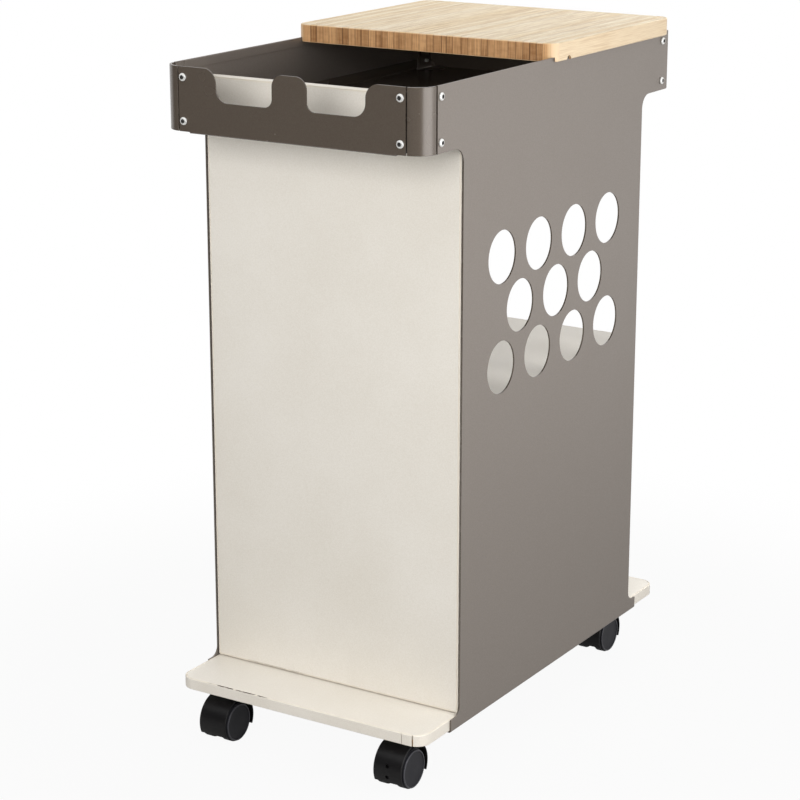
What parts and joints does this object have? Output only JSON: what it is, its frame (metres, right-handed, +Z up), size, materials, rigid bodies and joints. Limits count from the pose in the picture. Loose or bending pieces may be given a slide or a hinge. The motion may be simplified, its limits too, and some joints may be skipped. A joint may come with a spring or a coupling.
{
  "type": "laptop cart",
  "caption": "Narrow rolling laptop cart: perforated steel sides, laminate front, shelf and base, a tray with a bag-hook front, a sliding bamboo top and swivelling twin-wheel casters.",
  "frame": {"origin": "on the floor, under the middle of the cart's box", "axes": "+Z up, -Y towards the hook panel at the front, +X towards the right side panel"},
  "size_m": [0.312, 0.5248, 0.7295],
  "materials": {
    "powder_coat": "fine-textured taupe powder coat on sheet steel",
    "gunmetal": "dark satin powder coat on sheet steel",
    "laminate": "white melamine laminate on particle board with edge band",
    "bamboo": "laminated bamboo, clear satin lacquer",
    "zinc": "bright zinc plate",
    "bright_steel": "bright plated steel",
    "hood_plastic": "satin moulded black nylon",
    "wheel_plastic": "dark grey moulded nylon"
  },
  "bodies": {
    "frame": {"base_board": "laminate", "front_board": "laminate", "shelf": "laminate", "tray_floor": "gunmetal", "hook_panel": "gunmetal", "rear_rail": "gunmetal", "side_panel_left": "powder_coat", "corner_bracket_left": "gunmetal", "shelf_rail_left": "powder_coat", "front_cleat_lower_left": "powder_coat", "front_cleat_upper_left": "powder_coat", "side_panel_right": "powder_coat", "corner_bracket_right": "gunmetal", "shelf_rail_right": "powder_coat", "front_cleat_lower_right": "powder_coat", "front_cleat_upper_right": "powder_coat", "tray_screw_left_front_lower": "zinc", "tray_screw_left_front_upper": "zinc", "tray_screw_left_rear_lower": "zinc", "tray_screw_left_rear_upper": "zinc", "hook_screw_left_lower": "zinc", "hook_screw_left_upper": "zinc", "tray_screw_right_front_lower": "zinc", "tray_screw_right_front_upper": "zinc", "tray_screw_right_rear_lower": "zinc", "tray_screw_right_rear_upper": "zinc", "hook_screw_right_lower": "zinc", "hook_screw_right_upper": "zinc", "caster_plate_front_left": "bright_steel", "caster_plate_front_right": "bright_steel", "caster_plate_rear_left": "bright_steel", "caster_plate_rear_right": "bright_steel"},
    "top": {"bamboo_top": "bamboo"},
    "caster_front_left": {"caster_hood_front_left": "hood_plastic", "caster_axle_front_left": "bright_steel"},
    "wheel_front_left_left": {"caster_wheel_front_left_left": "wheel_plastic"},
    "wheel_front_left_right": {"caster_wheel_front_left_right": "wheel_plastic"},
    "caster_front_right": {"caster_hood_front_right": "hood_plastic", "caster_axle_front_right": "bright_steel"},
    "wheel_front_right_left": {"caster_wheel_front_right_left": "wheel_plastic"},
    "wheel_front_right_right": {"caster_wheel_front_right_right": "wheel_plastic"},
    "caster_rear_left": {"caster_hood_rear_left": "hood_plastic", "caster_axle_rear_left": "bright_steel"},
    "wheel_rear_left_left": {"caster_wheel_rear_left_left": "wheel_plastic"},
    "wheel_rear_left_right": {"caster_wheel_rear_left_right": "wheel_plastic"},
    "caster_rear_right": {"caster_hood_rear_right": "hood_plastic", "caster_axle_rear_right": "bright_steel"},
    "wheel_rear_right_left": {"caster_wheel_rear_right_left": "wheel_plastic"},
    "wheel_rear_right_right": {"caster_wheel_rear_right_right": "wheel_plastic"}
  },
  "joints": [
    {"name": "top_slide", "type": "slide", "parent": "frame", "child": "top", "axis": [0, -1, 0], "range_m": [0, 0.219]},
    {"name": "caster_swivel_front_left", "type": "hinge", "parent": "frame", "child": "caster_front_left", "pos_m": [-0.109, -0.2145, 0.04], "axis": [0, 0, 1], "continuous": true},
    {"name": "wheel_spin_front_left_left", "type": "hinge", "parent": "caster_front_left", "child": "wheel_front_left_left", "pos_m": [-0.109, -0.2365, 0.021], "axis": [1, 0, 0], "continuous": true},
    {"name": "wheel_spin_front_left_right", "type": "hinge", "parent": "caster_front_left", "child": "wheel_front_left_right", "pos_m": [-0.109, -0.2365, 0.021], "axis": [1, 0, 0], "continuous": true},
    {"name": "caster_swivel_front_right", "type": "hinge", "parent": "frame", "child": "caster_front_right", "pos_m": [0.109, -0.2145, 0.04], "axis": [0, 0, 1], "continuous": true},
    {"name": "wheel_spin_front_right_left", "type": "hinge", "parent": "caster_front_right", "child": "wheel_front_right_left", "pos_m": [0.109, -0.2365, 0.021], "axis": [1, 0, 0], "continuous": true},
    {"name": "wheel_spin_front_right_right", "type": "hinge", "parent": "caster_front_right", "child": "wheel_front_right_right", "pos_m": [0.109, -0.2365, 0.021], "axis": [1, 0, 0], "continuous": true},
    {"name": "caster_swivel_rear_left", "type": "hinge", "parent": "frame", "child": "caster_rear_left", "pos_m": [-0.109, 0.2171, 0.04], "axis": [0, 0, 1], "continuous": true},
    {"name": "wheel_spin_rear_left_left", "type": "hinge", "parent": "caster_rear_left", "child": "wheel_rear_left_left", "pos_m": [-0.109, 0.1951, 0.021], "axis": [1, 0, 0], "continuous": true},
    {"name": "wheel_spin_rear_left_right", "type": "hinge", "parent": "caster_rear_left", "child": "wheel_rear_left_right", "pos_m": [-0.109, 0.1951, 0.021], "axis": [1, 0, 0], "continuous": true},
    {"name": "caster_swivel_rear_right", "type": "hinge", "parent": "frame", "child": "caster_rear_right", "pos_m": [0.109, 0.2171, 0.04], "axis": [0, 0, 1], "continuous": true},
    {"name": "wheel_spin_rear_right_left", "type": "hinge", "parent": "caster_rear_right", "child": "wheel_rear_right_left", "pos_m": [0.109, 0.1951, 0.021], "axis": [1, 0, 0], "continuous": true},
    {"name": "wheel_spin_rear_right_right", "type": "hinge", "parent": "caster_rear_right", "child": "wheel_rear_right_right", "pos_m": [0.109, 0.1951, 0.021], "axis": [1, 0, 0], "continuous": true}
  ]
}
